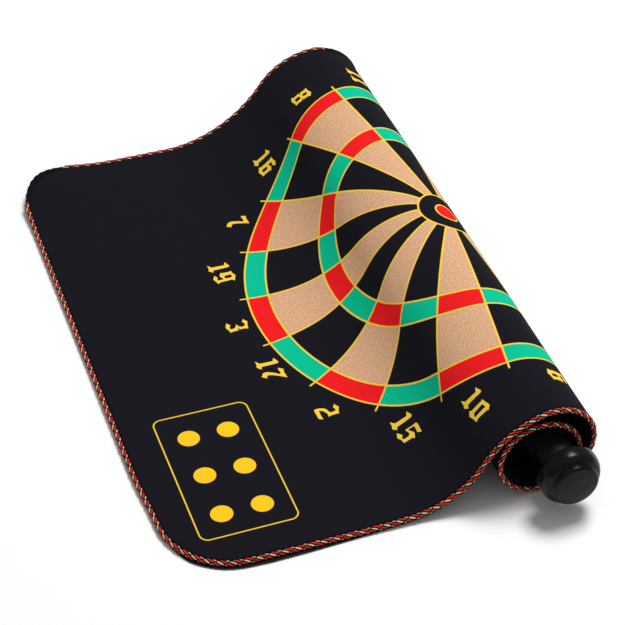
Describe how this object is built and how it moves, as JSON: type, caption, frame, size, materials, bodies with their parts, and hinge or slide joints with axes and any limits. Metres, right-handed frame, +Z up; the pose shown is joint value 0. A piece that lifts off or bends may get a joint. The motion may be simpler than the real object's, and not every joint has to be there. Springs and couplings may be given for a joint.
{
  "type": "magnetic dartboard",
  "caption": "Roll-up magnetic dartboard: printed cloth and ferrous rubber mat bound with twisted cord, half rolled round a capped hanging tube.",
  "frame": {"origin": "centre of the underside of the bounding box, on the table", "axes": "+X from the free edge of the mat towards the roll, +Y along the hanging tube from the near end to the far end, +Z up"},
  "size_m": [0.2456, 0.4348, 0.0633],
  "materials": {
    "printed_cloth": "matte black cloth printed with a tan, red, green and gold dartboard",
    "ferrous_rubber": "matte dark rubber filled with iron",
    "backing_cloth": "matte black cloth",
    "twisted_cord": "twisted cord of red, beige and black strands",
    "sleeve_cloth": "matte black cloth",
    "tube_plastic": "satin black plastic",
    "cap_plastic": "glossy black plastic"
  },
  "bodies": {
    "roll": {"face_cloth_roll": "printed_cloth", "magnetic_core_roll": "ferrous_rubber", "back_cloth_roll": "backing_cloth", "edge_cord_roll_near": "twisted_cord", "edge_cord_roll_far": "twisted_cord", "tube_sleeve": "sleeve_cloth"},
    "rise": {"face_cloth_rise": "printed_cloth", "magnetic_core_rise": "ferrous_rubber", "back_cloth_rise": "backing_cloth", "edge_cord_rise_near": "twisted_cord", "edge_cord_rise_far": "twisted_cord"},
    "foot": {"face_cloth_foot": "printed_cloth", "magnetic_core_foot": "ferrous_rubber", "back_cloth_foot": "backing_cloth", "edge_cord_foot_near": "twisted_cord", "edge_cord_foot_far": "twisted_cord"},
    "flap": {"face_cloth_flap": "printed_cloth", "magnetic_core_flap": "ferrous_rubber", "back_cloth_flap": "backing_cloth", "edge_cord_flap_near": "twisted_cord", "edge_cord_flap_far": "twisted_cord"},
    "tip": {"face_cloth_tip": "printed_cloth", "magnetic_core_tip": "ferrous_rubber", "back_cloth_tip": "backing_cloth", "edge_cord_tip": "twisted_cord"},
    "tube": {"hanging_tube": "tube_plastic"},
    "cap_near": {"end_cap_near": "cap_plastic"},
    "cap_far": {"end_cap_far": "cap_plastic"}
  },
  "joints": [
    {"name": "crest_flex", "type": "hinge", "parent": "roll", "child": "rise", "pos_m": [0.1, 0, 0.05904], "axis": [0.0013, 1, 0.0066], "range_deg": [0, 50]},
    {"name": "rise_flex", "type": "hinge", "parent": "rise", "child": "foot", "pos_m": [0.0284, 0, 0.01274], "axis": [-0.006, 0.9997, 0.0234], "range_deg": [-50, 0]},
    {"name": "flap_flex", "type": "hinge", "parent": "foot", "child": "flap", "pos_m": [-0.01985, 0, 0.003], "axis": [0, 1, 0], "range_deg": [0, 35]},
    {"name": "tip_flex", "type": "hinge", "parent": "flap", "child": "tip", "pos_m": [-0.06985, 0, 0.003], "axis": [0, 1, 0], "range_deg": [0, 35]},
    {"name": "tube_spin", "type": "hinge", "parent": "roll", "child": "tube", "pos_m": [0.09805, 0, 0.025], "axis": [0, 1, 0], "continuous": true},
    {"name": "cap_near_pull", "type": "slide", "parent": "tube", "child": "cap_near", "axis": [0, -1, 0], "range_m": [0, 0.02]},
    {"name": "cap_far_pull", "type": "slide", "parent": "tube", "child": "cap_far", "axis": [0, 1, 0], "range_m": [0, 0.02]}
  ],
  "couplings": [
    {"joint": "rise_flex", "follows": "crest_flex", "ratio": -1},
    {"joint": "tip_flex", "follows": "flap_flex", "ratio": 1}
  ]
}
